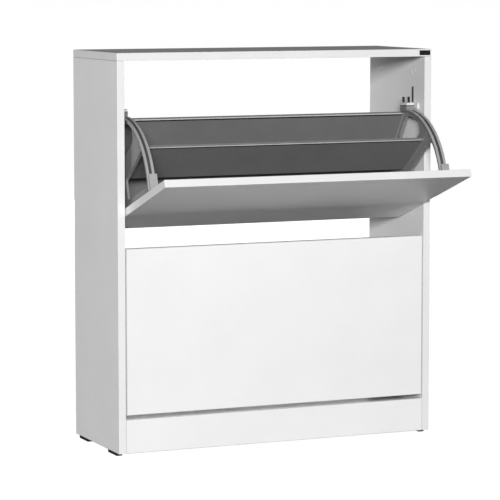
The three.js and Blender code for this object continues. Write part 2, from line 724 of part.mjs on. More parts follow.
const cabinet = new THREE.Group();
cabinet.position.y = (openReach - DEPTH) / 2;
cabinet.add(topPanel(), bottomPanel(), plinthBoard(), edgeTag());
cabinet.add(rearRail('lower', lowerFlapBottom), rearRail('upper', upperFlapBottom));
for (const side of SIDES) {
  cabinet.add(sidePanel(side));
  for (const { end, y } of glidePlaces) {
    cabinet.add(glide(side, end, y));
  }
  for (const { end, y } of camPlaces) {
    cabinet.add(topCam(side, end, y), topCamBolt(side, end, y));
  }
}
for (const unit of units) {
  cabinet.add(sideFittings(unit), tiltingUnit(unit));
}

export default cabinet;
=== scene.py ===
# %% [markdown]
# # A shoe cabinet with two tilting units
# The cabinet is a white melamine carcass without a back. Two units tilt out of it, one above
# the other. Each unit is a white flap on two moulded side frames, which hold three thin grey
# boards. The CAD model already has every piece in its place and turns it about its pivots.
# This lesson gives those pieces soft edges, edge banding, screws with recesses and finishes
# that change a little over the surface, and then lights them.
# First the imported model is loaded. Its box is kept, because the finished pieces must stay in it.

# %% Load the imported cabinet
import json
import math

import bmesh
import bpy
from mathutils import Matrix, Vector


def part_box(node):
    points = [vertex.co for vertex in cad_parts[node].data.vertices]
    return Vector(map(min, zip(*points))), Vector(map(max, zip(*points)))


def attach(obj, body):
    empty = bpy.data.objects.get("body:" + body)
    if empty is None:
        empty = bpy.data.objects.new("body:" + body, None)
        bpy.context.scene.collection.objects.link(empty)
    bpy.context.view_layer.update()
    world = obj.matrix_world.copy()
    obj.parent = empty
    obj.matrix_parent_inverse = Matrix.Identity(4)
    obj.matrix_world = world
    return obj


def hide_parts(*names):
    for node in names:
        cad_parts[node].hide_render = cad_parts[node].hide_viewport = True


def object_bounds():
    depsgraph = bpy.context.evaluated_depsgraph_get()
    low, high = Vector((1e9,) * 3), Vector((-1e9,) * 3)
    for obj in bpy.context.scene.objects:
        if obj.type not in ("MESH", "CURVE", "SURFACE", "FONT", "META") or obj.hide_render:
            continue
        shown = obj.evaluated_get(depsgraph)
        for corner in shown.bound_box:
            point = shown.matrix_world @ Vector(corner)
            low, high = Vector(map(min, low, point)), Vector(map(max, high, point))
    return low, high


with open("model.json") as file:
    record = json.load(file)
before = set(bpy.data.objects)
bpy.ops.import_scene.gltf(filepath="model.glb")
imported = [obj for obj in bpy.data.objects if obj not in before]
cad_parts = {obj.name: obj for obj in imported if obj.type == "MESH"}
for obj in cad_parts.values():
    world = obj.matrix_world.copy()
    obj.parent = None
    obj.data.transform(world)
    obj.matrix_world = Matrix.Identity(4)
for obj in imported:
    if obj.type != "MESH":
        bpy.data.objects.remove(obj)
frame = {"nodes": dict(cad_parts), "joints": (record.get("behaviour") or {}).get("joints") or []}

MM = 0.001
SIDES = ("left", "right")
LEVELS = ("upper", "lower")
cad_low, cad_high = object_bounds()
print("CAD box", [round(v, 4) for v in (*cad_low, *cad_high)], "nodes", len(frame["nodes"]))

# %% [markdown]
# ## Camera
# The camera stands a good five metres away, to the left of the cabinet and a little above its
# top, with a long lens. A long lens keeps the upright edges almost parallel, as in a catalogue
# view. The view is given by its turn and its tilt, so that it is easy to change.

# %% Set up the camera
CAMERA_PLACE = (-2.2055, -4.9364, 1.0130)  # metres from the middle of the cabinet's footprint
CAMERA_TURN = 23.535  # degrees to the right of straight ahead, since it stands on the left
CAMERA_TILT = 6.252  # degrees downwards
CAMERA_LENS = 182.5  # mm
SENSOR_WIDTH = 36  # mm

camera = bpy.data.objects.new("studio_camera", bpy.data.cameras.new("studio_camera"))
camera.data.sensor_width = SENSOR_WIDTH
camera.data.lens = CAMERA_LENS
camera.location = CAMERA_PLACE
camera.rotation_euler = (math.radians(90 - CAMERA_TILT), 0, math.radians(-CAMERA_TURN))
bpy.context.scene.collection.objects.link(camera)
bpy.context.scene.camera = camera
print("camera stands", round(camera.location.length, 2), "m away")

# %% [markdown]
# ## Floor, room light and lamps
# A catalogue view has no visible room: the floor and the background are the same pale tone. A
# plain floor under a plain bright background would need so much light that the cabinet's top
# burns out. So the room is bright only where the camera looks straight at it, and dim where it
# lights the cabinet. The floor glows a little for the same reason and still takes a soft shadow.
# One wide lamp near the camera lights the fronts. Weaker ones keep the two sides and the back
# readable, and the one behind hangs low, so that it doesn't shine along the top.

# %% Tones are set as they will be seen
view = bpy.context.scene.view_settings
view.view_transform = "Standard"
view.look = "None"
print("view transform", view.view_transform)

# %% Make the room
ROOM_LIGHT = 0.06  # what the cabinet gets
ROOM_SEEN = 1.0  # what the camera sees


def bright_when_seen(tree, dim, bright):
    """A factor that is bright for what the camera sees directly, and dim for what it lights."""
    path = tree.nodes.new("ShaderNodeLightPath")
    mix = tree.nodes.new("ShaderNodeMix")
    mix.inputs["A"].default_value = dim
    mix.inputs["B"].default_value = bright
    tree.links.new(path.outputs["Is Camera Ray"], mix.inputs["Factor"])
    return mix.outputs["Result"]


room = bpy.data.worlds.new("studio_room")
room.use_nodes = True
bpy.context.scene.world = room
room_shade = room.node_tree.nodes["Background"]
room_shade.inputs["Color"].default_value = (1, 1, 1, 1)
room_strength = bright_when_seen(room.node_tree, ROOM_LIGHT, ROOM_SEEN)
room.node_tree.links.new(room_strength, room_shade.inputs["Strength"])
print("room light", ROOM_LIGHT)

# %% Lay the floor
FLOOR_SIZE = 160  # m, far past the edge of any view
FLOOR_TONE = 0.15
FLOOR_SEEN = 0.985  # a touch under the room, so that the far edge melts into it

floor_paint = bpy.data.materials.new("pale_floor")
floor_paint.use_nodes = True
floor_shade = floor_paint.node_tree.nodes["Principled BSDF"]
floor_shade.inputs["Base Color"].default_value = (FLOOR_TONE, FLOOR_TONE, FLOOR_TONE, 1)
floor_shade.inputs["Roughness"].default_value = 0.9
floor_shade.inputs["Specular IOR Level"].default_value = 0.1
floor_shade.inputs["Emission Color"].default_value = (1, 1, 1, 1)
floor_glow = bright_when_seen(floor_paint.node_tree, 0.0, FLOOR_SEEN)
floor_paint.node_tree.links.new(floor_glow, floor_shade.inputs["Emission Strength"])

floor_mesh = bmesh.new()
bmesh.ops.create_grid(floor_mesh, x_segments=1, y_segments=1, size=FLOOR_SIZE / 2)
floor_data = bpy.data.meshes.new("floor")
floor_mesh.to_mesh(floor_data)
floor_mesh.free()
floor_data.materials.append(floor_paint)
floor = bpy.data.objects.new("floor", floor_data)
bpy.context.scene.collection.objects.link(floor)
print("floor", FLOOR_SIZE, "m wide")

# %% Hang the lamps
MIDDLE = (cad_low + cad_high) / 2
# Name, azimuth in degrees, height and distance in m, width and height of its face in m, watts
LAMPS = (
    ("front_lamp", 23, 2.6, 10, 3.0, 1.6, 1130),
    ("side_lamp", 100, 0.8, 5, 1.6, 1.2, 54),
    ("far_lamp", 258, 0.6, 5, 1.6, 0.8, 34),
    ("back_lamp", 200, 0.3, 6, 2.6, 0.5, 60),
)


def hang_lamp(name, azimuth, height, distance, width, tall, power):
    """A wide soft lamp that looks at the middle; azimuth 0 is straight in front, 90 on the left."""
    lamp = bpy.data.objects.new(name, bpy.data.lights.new(name, "AREA"))
    lamp.data.shape = "RECTANGLE"
    lamp.data.size = width
    lamp.data.size_y = tall
    lamp.data.energy = power
    turn = math.radians(azimuth)
    lamp.location = (-distance * math.sin(turn), -distance * math.cos(turn), height)
    lamp.rotation_euler = (MIDDLE - lamp.location).to_track_quat("-Z", "Y").to_euler()
    lamp.visible_camera = False
    bpy.context.scene.collection.objects.link(lamp)
    print(name, "at", [round(v, 2) for v in lamp.location], power, "W")


for lamp_card in LAMPS:
    hang_lamp(*lamp_card)

# %% [markdown]
# ## Finishes
# A finish is more than a colour. Melamine has a fine pearl in its skin, a moulded frame has the
# texture of its spark-eroded mould, and each wanders a little in tone and in gloss. Those
# effects return on every material, so each is a node group that is built once: `grain` for the
# height of a fine skin, `mottle` for slow changes of tone, and `rubbed` for the patches where
# hands and shoes have worn it. All three read the place on the object, so they stay with the
# piece when it tilts.

# %% Start a node group
FLOATS, COLOUR = "NodeSocketFloat", "NodeSocketColor"


def new_group(name, inputs, outputs):
    """An empty shader group with these sockets, and its input and output nodes."""
    group = bpy.data.node_groups.new(name, "ShaderNodeTree")
    for label, kind, value in inputs:
        socket = group.interface.new_socket(name=label, in_out="INPUT", socket_type=kind)
        socket.default_value = value
    for label, kind in outputs:
        group.interface.new_socket(name=label, in_out="OUTPUT", socket_type=kind)
    return group, group.nodes.new("NodeGroupInput"), group.nodes.new("NodeGroupOutput")


def place_on_piece(tree):
    """Object coordinates, which are the same as the cabinet's own frame in metres."""
    return tree.nodes.new("ShaderNodeTexCoord").outputs["Object"]


# %% Small steps that the groups share
def noise(tree, place, scale, detail=2):
    """Noise laid over a place; scale is its patches per metre, as a number or as a socket."""
    texture = tree.nodes.new("ShaderNodeTexNoise")
    texture.inputs["Detail"].default_value = detail
    tree.links.new(place, texture.inputs["Vector"])
    if isinstance(scale, bpy.types.NodeSocket):
        tree.links.new(scale, texture.inputs["Scale"])
    else:
        texture.inputs["Scale"].default_value = scale
    return texture.outputs["Fac"]


def blend(tree, factor, first, second, kind="FLOAT"):
    """The first value where the factor is 0, the second where it is 1."""
    mix = tree.nodes.new("ShaderNodeMix")
    mix.data_type = kind
    for label, source in (("Factor", factor), ("A", first), ("B", second)):
        tree.links.new(source, mix.inputs[label])
    return mix.outputs["Result"]


def stretch(tree, value, given, wanted=(0, 1)):
    """Spreads the given range of a value over the wanted range."""
    spread = tree.nodes.new("ShaderNodeMapRange")
    for label, amount in zip(("From Min", "From Max", "To Min", "To Max"), (*given, *wanted)):
        spread.inputs[label].default_value = amount
    tree.links.new(value, spread.inputs["Value"])
    return spread.outputs["Result"]


def multiply(tree, one, other):
    """The product of two values."""
    product = tree.nodes.new("ShaderNodeMath")
    product.operation = "MULTIPLY"
    tree.links.new(one, product.inputs[0])
    tree.links.new(other, product.inputs[1])
    return product.outputs[0]


# %% The group for a fine skin
WAVES_PER_METRE = 60


def build_grain():
    """Two sizes of bump laid over each other: the skin itself, and the softer waves under it."""
    inputs = [("Per metre", FLOATS, 900.0), ("Waves", FLOATS, 0.3)]
    group, given, made = new_group("grain", inputs, [("Height", FLOATS), ("Gloss change", FLOATS)])
    place = place_on_piece(group)
    skin = noise(group, place, given.outputs["Per metre"])
    waves = noise(group, place, WAVES_PER_METRE, detail=1)
    height = blend(group, given.outputs["Waves"], skin, waves)
    group.links.new(height, made.inputs["Height"])
    group.links.new(waves, made.inputs["Gloss change"])
    return group


GRAIN = build_grain()
print("group", GRAIN.name)

# %% The group for slow changes of tone
TONE_SPREAD = (0.32, 0.68)  # the part of the noise that runs from the dark to the light tone


def build_mottle():
    """Two tones of the same finish, mixed by soft patches with a few fine flecks in them."""
    inputs = [
        ("Light tone", COLOUR, (0.8, 0.8, 0.8, 1)),
        ("Dark tone", COLOUR, (0.7, 0.7, 0.7, 1)),
        ("Patches per metre", FLOATS, 14.0),
        ("Flecks per metre", FLOATS, 700.0),
        ("Fleck share", FLOATS, 0.3),
    ]
    group, given, made = new_group("mottle", inputs, [("Color", COLOUR)])
    place = place_on_piece(group)
    patches = noise(group, place, given.outputs["Patches per metre"], detail=3)
    flecks = noise(group, place, given.outputs["Flecks per metre"], detail=1)
    both = blend(group, given.outputs["Fleck share"], patches, flecks)
    share = stretch(group, both, TONE_SPREAD)
    tone = blend(group, share, given.outputs["Dark tone"], given.outputs["Light tone"], "RGBA")
    group.links.new(tone, made.inputs["Color"])
    return group


MOTTLE = build_mottle()
print("group", MOTTLE.name)

# %% The group for rubbed places
SCUFF_TURN = (0.3, 0.5, 0.7)  # radians, so that the scuffs run along no edge
SCUFF_STRETCH = (1.0, 0.25, 3.0)  # longer one way than the other
SCUFF_RANGE = (0.55, 0.75)  # noise under the first number leaves no scuff
WORN_RANGE = (0.45, 0.65)
WORN_PATCHES_PER_METRE = 7


def build_rubbed():
    """A mask of short soft scuffs: stretched noise, kept only where wide patches allow it."""
    inputs = [("Scuffs per metre", FLOATS, 60.0), ("Amount", FLOATS, 0.3)]
    group, given, made = new_group("rubbed", inputs, [("Mask", FLOATS)])
    place = place_on_piece(group)
    turned = group.nodes.new("ShaderNodeMapping")
    turned.inputs["Rotation"].default_value = SCUFF_TURN
    turned.inputs["Scale"].default_value = SCUFF_STRETCH
    group.links.new(place, turned.inputs["Vector"])
    scuffs = noise(group, turned.outputs["Vector"], given.outputs["Scuffs per metre"], detail=4)
    patches = noise(group, place, WORN_PATCHES_PER_METRE)
    kept = multiply(group, stretch(group, scuffs, SCUFF_RANGE), stretch(group, patches, WORN_RANGE))
    group.links.new(multiply(group, kept, given.outputs["Amount"]), made.inputs["Mask"])
    return group


RUBBED = build_rubbed()
print("group", RUBBED.name)

# %% [markdown]
# ## Mixing a finish
# Every finish here is the same recipe with other amounts: a light and a dark tone, how often
# they change, how deep and how fine the skin is, how glossy it is and how much that wanders,
# and how much it is rubbed. Writing the recipe once keeps the materials comparable, and each
# entry below then reads like a paint card.

# %% The recipe
SCUFFS_PER_METRE = 55
BUMP_STRENGTH = 0.5
GLOSS_SPREAD = (0.3, 0.7)  # the part of the waves that runs from the least to the most roughness


def use_group(tree, group, **values):
    """Places a node group in a material, with this material's own amounts."""
    node = tree.nodes.new("ShaderNodeGroup")
    node.node_tree = group
    for label, value in values.items():
        node.inputs[label.replace("_", " ")].default_value = value
    return node


def shade_of(tone, tint=(1, 1, 1)):
    """A colour from one lightness, tinted a little."""
    return (*(tone * part for part in tint), 1)


def mix_finish(name, light, dark, gloss, skin, flecks, scuffs=0.2, scuffed=None, tint=(1, 1, 1), metal=0.0):
    """gloss is the least and the most roughness; skin is its bumps per metre, their depth in mm
    and the share of waves; flecks is patches per metre, flecks per metre and the share of flecks.
    scuffs is how much a rubbed place shows, and scuffed its tone, a fifth darker if not given."""
    material = bpy.data.materials.new(name)
    material.use_nodes = True
    tree = material.node_tree
    shader = tree.nodes["Principled BSDF"]
    shader.inputs["Metallic"].default_value = metal
    tones = use_group(
        tree,
        MOTTLE,
        Light_tone=shade_of(light, tint),
        Dark_tone=shade_of(dark, tint),
        Patches_per_metre=flecks[0],
        Flecks_per_metre=flecks[1],
        Fleck_share=flecks[2],
    )
    scuff = use_group(tree, RUBBED, Scuffs_per_metre=SCUFFS_PER_METRE, Amount=scuffs)
    worn = tree.nodes.new("ShaderNodeMix")
    worn.data_type = "RGBA"
    worn.inputs["B"].default_value = shade_of(light * 0.8 if scuffed is None else scuffed, tint)
    tree.links.new(scuff.outputs["Mask"], worn.inputs["Factor"])
    tree.links.new(tones.outputs["Color"], worn.inputs["A"])
    tree.links.new(worn.outputs["Result"], shader.inputs["Base Color"])
    surface = use_group(tree, GRAIN, Per_metre=skin[0], Waves=skin[2])
    roughness = stretch(tree, surface.outputs["Gloss change"], GLOSS_SPREAD, gloss)
    tree.links.new(roughness, shader.inputs["Roughness"])
    bump = tree.nodes.new("ShaderNodeBump")
    bump.inputs["Strength"].default_value = BUMP_STRENGTH
    bump.inputs["Distance"].default_value = skin[1] * MM
    tree.links.new(surface.outputs["Height"], bump.inputs["Height"])
    tree.links.new(bump.outputs["Normal"], shader.inputs["Normal"])
    print("finish", name)
    return material


# %% Board finishes
MELAMINE = mix_finish(
    "white_melamine", 0.87, 0.83, scuffs=0.10,
    gloss=(0.34, 0.46), skin=(1400, 0.05, 0.35), flecks=(9, 1500, 0.35),
)
BANDING = mix_finish(
    "white_edge_banding", 0.82, 0.79, scuffs=0.16,
    gloss=(0.34, 0.44), skin=(500, 0.04, 0.6), flecks=(20, 900, 0.2),
)
GLUE_LINE = mix_finish(
    "glue_line", 0.50, 0.40, scuffs=0.2, tint=(1, 0.98, 0.94),
    gloss=(0.5, 0.7), skin=(2500, 0.05, 0.2), flecks=(80, 2500, 0.5),
)
GREY_FOIL = mix_finish(
    "grey_shelf_foil", 0.195, 0.16, scuffs=0.25,
    gloss=(0.5, 0.64), skin=(1800, 0.07, 0.3), flecks=(11, 1100, 0.45),
)
GREY_EDGE = mix_finish(
    "grey_shelf_edging", 0.21, 0.18, scuffs=0.25,
    gloss=(0.34, 0.46), skin=(700, 0.04, 0.4), flecks=(30, 800, 0.3),
)
# Painted highlight: the pale nose of the edging stands in for its lit rounded corner
NOSE_PAINTED_HIGHLIGHT = mix_finish(
    "edging_nose_painted_highlight", 0.66, 0.58, scuffs=0.3,
    gloss=(0.28, 0.4), skin=(700, 0.03, 0.4), flecks=(30, 800, 0.3),
)
# Painted shadow: the dark root stands in for the shadow under the edging's bead
ROOT_PAINTED_SHADOW = mix_finish(
    "edging_root_painted_shadow", 0.02, 0.012, scuffs=0.2,
    gloss=(0.5, 0.65), skin=(900, 0.04, 0.4), flecks=(30, 800, 0.3),
)

# %% Plastic and metal finishes
FRAME_PLASTIC = mix_finish(
    "grey_moulded_frame", 0.25, 0.205, scuffs=0.3,
    gloss=(0.34, 0.5), skin=(2200, 0.08, 0.25), flecks=(16, 1600, 0.4),
)
# Painted highlight: the run of the flange and the foot are painted pale where they catch the light
RUN_PAINTED_HIGHLIGHT = mix_finish(
    "frame_run_painted_highlight", 0.44, 0.36, scuffs=0.35, scuffed=0.24,
    gloss=(0.26, 0.38), skin=(1500, 0.05, 0.3), flecks=(26, 1300, 0.4),
)
# Painted shade: the floor of the flange groove and a painted shadow line under the head's painted highlight
FRAME_PAINTED_SHADE = mix_finish(
    "frame_painted_shade", 0.075, 0.055, scuffs=0.2,
    gloss=(0.5, 0.62), skin=(2200, 0.08, 0.25), flecks=(20, 1600, 0.4),
)
BLACK_PLASTIC = mix_finish(
    "black_moulded_glide", 0.012, 0.007, scuffs=0.35, scuffed=0.06,
    gloss=(0.38, 0.55), skin=(2600, 0.08, 0.25), flecks=(30, 2200, 0.4),
)
# The white of the real stop blocks, also used as the painted highlight on top of the frame heads
WHITE_STOP_AND_HEAD_HIGHLIGHT = mix_finish(
    "white_stop_and_head_highlight", 0.74, 0.68, scuffs=0.25,
    gloss=(0.3, 0.44), skin=(2400, 0.05, 0.3), flecks=(40, 1900, 0.4),
)
CAP_PLASTIC = mix_finish(
    "white_moulded_cap", 0.84, 0.80, scuffs=0.1,
    gloss=(0.34, 0.46), skin=(1800, 0.04, 0.3), flecks=(30, 1700, 0.3),
)
DARK_PLASTIC = mix_finish(
    "dark_moulded_pin", 0.05, 0.037, scuffs=0.3,
    gloss=(0.36, 0.5), skin=(2400, 0.06, 0.3), flecks=(30, 2000, 0.4),
)
ZINC = mix_finish(
    "zinc_plating", 0.62, 0.45, scuffs=0.35, metal=1.0,
    gloss=(0.24, 0.42), skin=(3200, 0.03, 0.3), flecks=(160, 2600, 0.5),
)

# %% [markdown]
# ## From CAD nodes to finished pieces
# A CAD node is a mesh of loose triangles. A copy of it is merged into whole flat faces, and its
# sharp edges are rounded, because no board or moulding has a knife edge: the round catches the
# light and shows where one piece ends. The upper unit rests open, so its pieces are first
# turned back upright, where their edges are parallel to the axes, and turned out again at the
# end. The same copy keeps the holes that the CAD model drilled.

# %% Where each unit is turned out to
def joint_of(level):
    """The joint that a unit turns on."""
    return next(joint for joint in frame["joints"] if joint["child"] == f"{level}_unit")


def turn_of(level):
    """The move from a unit's closed place, its lowest angle, to where it rests at zero."""
    joint = joint_of(level)
    pivot = Matrix.Translation(Vector(joint["pos_m"]))
    angle = math.radians(-joint["range_deg"][0])
    return pivot @ Matrix.Rotation(angle, 4, "X") @ pivot.inverted()


TURNED = {level: turn_of(level) for level in LEVELS}
UPRIGHT = Matrix.Identity(4)
print("units are turned", {k: round(math.degrees(m.to_euler().x), 1) for k, m in TURNED.items()})

# %% Copy a node into whole faces
WELD = 0.002 * MM  # corners nearer than this are one
FLAT = math.radians(0.5)  # faces that meet at less than this are one


def merged_copy(node, place=UPRIGHT):
    """The node's mesh, merged, with its flat faces whole again, in its upright place."""
    mesh = bmesh.new()
    mesh.from_mesh(frame["nodes"][node].data)
    bmesh.ops.remove_doubles(mesh, verts=mesh.verts, dist=WELD)
    bmesh.ops.dissolve_limit(mesh, angle_limit=FLAT, verts=mesh.verts, edges=mesh.edges)
    bmesh.ops.transform(mesh, matrix=place.inverted(), verts=mesh.verts)
    return mesh


# %% Round the edges
SHARP = math.radians(30)  # edges that turn more than this are rounded


def soften(mesh, width, segments=2):
    """Rounds every sharp edge over this width in mm."""
    edges = [e for e in mesh.edges if len(e.link_faces) == 2 and e.calc_face_angle() > SHARP]
    bmesh.ops.bevel(
        mesh,
        geom=edges,
        offset=width * MM,
        offset_type="OFFSET",
        affect="EDGES",
        segments=segments,
        profile=0.5,
        material=-1,
        clamp_overlap=False,
    )
    return mesh


def extent(mesh):
    """Lowest and highest corner of a mesh."""
    low = Vector(min(v.co[i] for v in mesh.verts) for i in range(3))
    high = Vector(max(v.co[i] for v in mesh.verts) for i in range(3))
    return low, high


# %% Turn a mesh into a piece that rides on its body
def finish_piece(mesh, name, finishes, body, nodes=(), place=UPRIGHT, smooth=24):
    """The mesh goes back to where it rests, and the piece stands for its CAD nodes.
    Faces that meet at less than smooth degrees are shaded as one curve; 0 keeps each face flat."""
    bmesh.ops.transform(mesh, matrix=place, verts=mesh.verts)
    limit = math.radians(smooth)
    for face in mesh.faces:
        face.smooth = smooth > 0
    for edge in mesh.edges:
        edge.smooth = len(edge.link_faces) == 2 and edge.calc_face_angle() < limit
    data = bpy.data.meshes.new(name)
    mesh.to_mesh(data)
    mesh.free()
    for finish in finishes:
        data.materials.append(finish)
    piece = bpy.data.objects.new(name, data)
    bpy.context.scene.collection.objects.link(piece)
    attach(piece, body)
    if nodes:
        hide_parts(*nodes)
    return piece


# %% [markdown]
# ## Melamine boards
# A melamine board is chipboard with a printed skin on its two broad faces and a band glued on
# each narrow edge. The band is a little glossier than the skin, and a thin line of glue shows
# where they meet. One could paint that line, but a cut in the mesh is exact at any distance:
# the board is cut by planes a hair inside its edges, and the strips outside them get the
# line's finish.

# %% Band the edges of a board
BAND = 1.0  # mm from the edge to the end of the glue line
SKIN_OVER_BAND = 0.45  # mm from the edge to its start
FACING = 0.9  # a face looks along a direction when the cosine between them is above this
HAIR = 1e-7  # m, how near a corner counts as lying on a cut


def cut(mesh, place, across):
    """Cuts a mesh in two along a plane, and keeps both halves."""
    everything = [*mesh.verts, *mesh.edges, *mesh.faces]
    bmesh.ops.bisect_plane(mesh, geom=everything, dist=HAIR, plane_co=place, plane_no=across)


def band_edges(mesh):
    """Material 0 is the skin, 1 the band and 2 the glue line."""
    low, high = extent(mesh)
    thin = min(range(3), key=lambda i: high[i] - low[i])
    broad = [axis for axis in range(3) if axis != thin]
    for axis in broad:
        across = Vector(float(i == axis) for i in range(3))
        for inset in (SKIN_OVER_BAND * MM, BAND * MM):
            for place in (low[axis] + inset, high[axis] - inset):
                cut(mesh, across * place, across)
    for face in mesh.faces:
        centre = face.calc_center_median()
        depth = min(min(centre[a] - low[a], high[a] - centre[a]) for a in broad) / MM
        if abs(face.normal[thin]) <= FACING or depth < SKIN_OVER_BAND:
            face.material_index = 1
        elif depth < BAND:
            face.material_index = 2
    return mesh


def melamine_board(name, node, body="carcass", place=UPRIGHT, soft=0.4):
    """A board with soft banded edges that stands for its CAD node."""
    mesh = band_edges(soften(merged_copy(node, place), soft))
    low, high = extent(mesh)
    size = [round(v / MM, 1) for v in high - low]
    finishes = (MELAMINE, BANDING, GLUE_LINE)
    piece = finish_piece(mesh, name, finishes, body, (node,), place, smooth=0)
    print("board", name, size, len(piece.data.polygons), "faces")


# %% Carcass boards
for side in SIDES:
    melamine_board(f"banded_side_{side}", f"side_panel_{side}")
for part in ("top_panel", "bottom_panel", "plinth_board", "rear_rail_lower", "rear_rail_upper"):
    melamine_board(f"banded_{part}", part)

# %% [markdown]
# ## Flaps
# The flaps are the same board as the carcass. They have no handle: a finger goes in the gap
# above each one, so their top edges are the ones that get handled, and they are rounded a
# little more than the rest of the cabinet.

# %% Flaps
for level in LEVELS:
    melamine_board(f"banded_flap_{level}", f"flap_{level}", f"{level}_unit", TURNED[level], 0.6)

# %% [markdown]
# ## Grey boards of the units
# Three thin boards slide into each pair of side frames: a divider, a back board and a small
# bottom board. They are hardboard in a matt grey foil. The mouth edges of the divider and of
# the back board carry a slim edging that guides the shoes over them: a grey cap over the edge,
# a pale rounded nose towards the room that is a painted highlight, and a dark root under it that
# is a painted shadow where the edging meets the foil. Each is a ribbon along the edge, rounded by a bevel.
# Three small ribbons are easier to
# adjust than one outline with three finishes.

# %% Edging along the mouth of a board
EDGING_END = 22.5  # mm from the inner face of the side panel to the end of the edging
END_ZONE = 2.5  # mm of height within which corners belong to the same end of a board
# Extent towards the room and up along the board in mm, rounding in mm, and number of the finish
EDGING_RIBBONS = {
    "cap": ((-2.6, 3.0), (-3.0, 0.8), 0.7, 1),
    # the nose is a painted highlight, the root a painted shadow line under the cap
    "painted_highlight_nose": ((1.6, 3.7), (-2.4, 0.3), 0.8, 2),
    "painted_shadow_root": ((-2.4, 3.0), (-5.6, -2.3), 0.3, 3),
}
inner_face = abs(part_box("side_panel_left")[1].x)
print("edging", round(2 * (inner_face / MM - EDGING_END), 1), "mm long")


def end_middle(mesh, height):
    """The middle of the end of a board that lies at this height."""
    near = [v.co for v in mesh.verts if abs(v.co.z - height) < END_ZONE * MM]
    return sum((Vector((0, c.y, c.z)) for c in near), Vector()) / len(near)


def mouth_frame(mesh):
    """The middle of the mouth edge, the way up along the board, and the way across it."""
    heights = [v.co.z for v in mesh.verts]
    middle = end_middle(mesh, max(heights))
    along = (middle - end_middle(mesh, min(heights))).normalized()
    return middle, along, Vector((1, 0, 0)).cross(along)


def add_edging(mesh):
    """Rounded ribbons along the mouth edge, as further finishes of the same piece."""
    middle, along, across = mouth_frame(mesh)
    length = 2 * (inner_face - EDGING_END * MM)
    turn = Matrix((Vector((1, 0, 0)), across, along)).transposed().to_4x4()
    for label, (wide, deep, soft, finish) in EDGING_RIBBONS.items():
        ribbon = bmesh.new()
        bmesh.ops.create_cube(ribbon, size=1)
        size = (length, (wide[1] - wide[0]) * MM, (deep[1] - deep[0]) * MM)
        bmesh.ops.scale(ribbon, vec=size, verts=ribbon.verts)
        soften(ribbon, soft, segments=3)
        lift = middle + across * sum(wide) * MM / 2 + along * sum(deep) * MM / 2
        bmesh.ops.transform(ribbon, matrix=Matrix.Translation(lift) @ turn, verts=ribbon.verts)
        bmesh.ops.recalc_face_normals(ribbon, faces=ribbon.faces)
        for face in ribbon.faces:
            face.material_index = finish
        data = bpy.data.meshes.new(label)
        ribbon.to_mesh(data)
        ribbon.free()
        mesh.from_mesh(data)
        bpy.data.meshes.remove(data)


# %% The boards
GREY_FINISHES = (GREY_FOIL, GREY_EDGE, NOSE_PAINTED_HIGHLIGHT, ROOT_PAINTED_SHADOW)


def grey_board(kind, level, edged):
    """One thin board of a unit."""
    node = f"{kind}_board_{level}"
    place = TURNED[level]
    mesh = soften(merged_copy(node, place), 0.3)
    if edged:
        add_edging(mesh)
    name, body = f"foiled_{node}", f"{level}_unit"
    piece = finish_piece(mesh, name, GREY_FINISHES, body, (node,), place, smooth=0)
    print("grey board", name, len(piece.data.polygons), "faces")


for level in LEVELS:
    grey_board("divider", level, True)
    grey_board("back", level, True)
    grey_board("bottom", level, False)

# %% [markdown]
# ## Side frames
# A side frame is one moulding: a thin web with two windows, a flange round the outside with a
# guide groove, ribs that hold the boards, a boss for the pivot and a head that meets the stop.
# The CAD node has all of that. What a moulding adds is a small radius on every edge, so the
# copy is merged and every sharp edge is rounded.
# The outside of the flange and the foot at its front end are painted pale, a painted highlight
# where they catch the light, with painted shade in the groove between the flange's two runs. The
# top of the head is painted white as a painted highlight, with a painted shadow line under it and
# two dark prongs above. All of these are marked by their distance from the pivot, in the upright unit.

# %% Mark the parts of a frame
HEAD_REACH = 15  # mm from the run of the arm to the outside of the head
HEAD_ANGLE = 16.1  # degrees above straight back, in the upright unit
PRONG_START = 0.2  # mm past the outside of the head
HEAD_HIGHLIGHT_DEPTH = 5.5  # mm of the head painted white, a painted highlight
SHADOW_LINE_DEPTH = 1.6  # mm of painted shadow line under the head's painted highlight
FOOT_START = 1  # mm above the highest point of the run
ARC_ANGLES = (40, 75)  # degrees between which nothing stands out past the run
RUN_DEPTH = 0.7  # mm under the run that still belongs to it
GROOVE_DEPTHS = (1, 2.3)  # mm under the run where the floor of the groove lies
GROOVE_FACING = 0.5  # its faces may lean more than those of the run
# The run and the head's top carry painted highlights; the groove and the line under the head carry painted
# shade
FRAME_FINISHES = (FRAME_PLASTIC, RUN_PAINTED_HIGHLIGHT, FRAME_PAINTED_SHADE, WHITE_STOP_AND_HEAD_HIGHLIGHT, DARK_PLASTIC)
PLAIN, RUN_HIGHLIGHT, PAINTED_SHADE, HEAD_HIGHLIGHT, DARK = range(len(FRAME_FINISHES))


def around(pivot, point):
    """The angle of a point about the pivot, in degrees above straight back."""
    return math.degrees(math.atan2(point.z - pivot.z, point.y - pivot.y))


def reach(pivot, point):
    """The distance of a point from the pin's axis."""
    return math.hypot(point.y - pivot.y, point.z - pivot.z)


def finish_on_head(past_head):
    """The finish of a face by how far it lies past the outside of the head, in mm."""
    if past_head > PRONG_START:
        return DARK
    # a painted highlight on the head's top, and a painted shadow line under it
    if past_head > -HEAD_HIGHLIGHT_DEPTH:
        return HEAD_HIGHLIGHT
    if past_head > -HEAD_HIGHLIGHT_DEPTH - SHADOW_LINE_DEPTH:
        return PAINTED_SHADE
    return None


